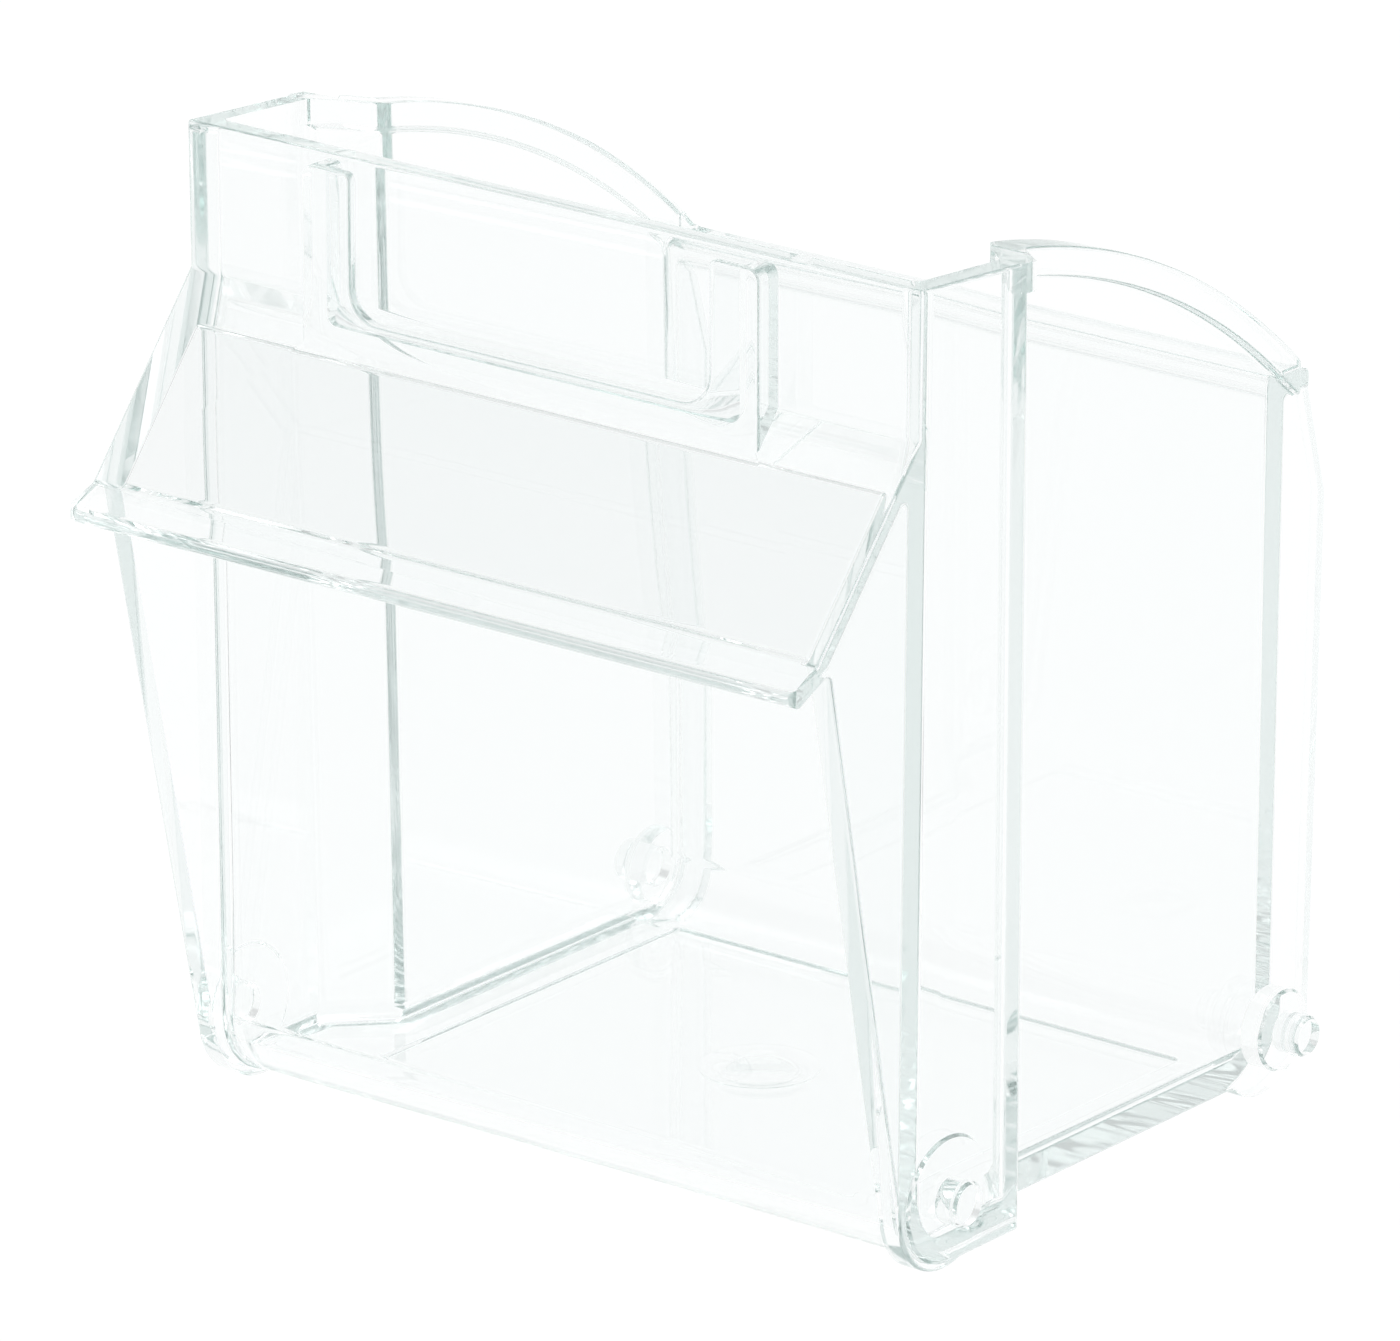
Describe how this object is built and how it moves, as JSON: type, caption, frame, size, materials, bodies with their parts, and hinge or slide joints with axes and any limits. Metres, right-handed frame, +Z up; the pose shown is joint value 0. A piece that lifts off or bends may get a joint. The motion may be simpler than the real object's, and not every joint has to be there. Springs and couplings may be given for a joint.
{
  "type": "tip-out bin",
  "caption": "Clear tip-out bin for a storage rail: open scoop cup with curved side rims, hooded finger pull, label holder, side pivot pins and rear stop pins.",
  "frame": {"origin": "bottom centre of the bin's bounding box: midway between its sides, midway between the lip and the fins, on the plane that its rear lobes stand on", "axes": "+X to the right seen from the front, +Y from the label side to the back, +Z up"},
  "size_m": [0.0666, 0.0663, 0.0723],
  "materials": {
    "clear_plastic": "gloss"
  },
  "bodies": {
    "root": {"floor_pan": "clear_plastic", "front_wall": "clear_plastic", "rear_wall": "clear_plastic", "rear_ledge": "clear_plastic", "gate_dimple": "clear_plastic", "left_front_cheek": "clear_plastic", "right_front_cheek": "clear_plastic", "left_shoulder": "clear_plastic", "right_shoulder": "clear_plastic", "left_side_wall": "clear_plastic", "right_side_wall": "clear_plastic", "left_rear_fin": "clear_plastic", "right_rear_fin": "clear_plastic", "left_rim_bead": "clear_plastic", "right_rim_bead": "clear_plastic", "left_wing": "clear_plastic", "right_wing": "clear_plastic", "hood_panel": "clear_plastic", "pull_lip": "clear_plastic", "left_label_arm": "clear_plastic", "right_label_arm": "clear_plastic", "label_rail": "clear_plastic", "left_pivot_boss": "clear_plastic", "right_pivot_boss": "clear_plastic", "left_pivot_pin": "clear_plastic", "right_pivot_pin": "clear_plastic", "left_stop_boss": "clear_plastic", "right_stop_boss": "clear_plastic", "left_stop_pin": "clear_plastic", "right_stop_pin": "clear_plastic"}
  },
  "joints": []
}
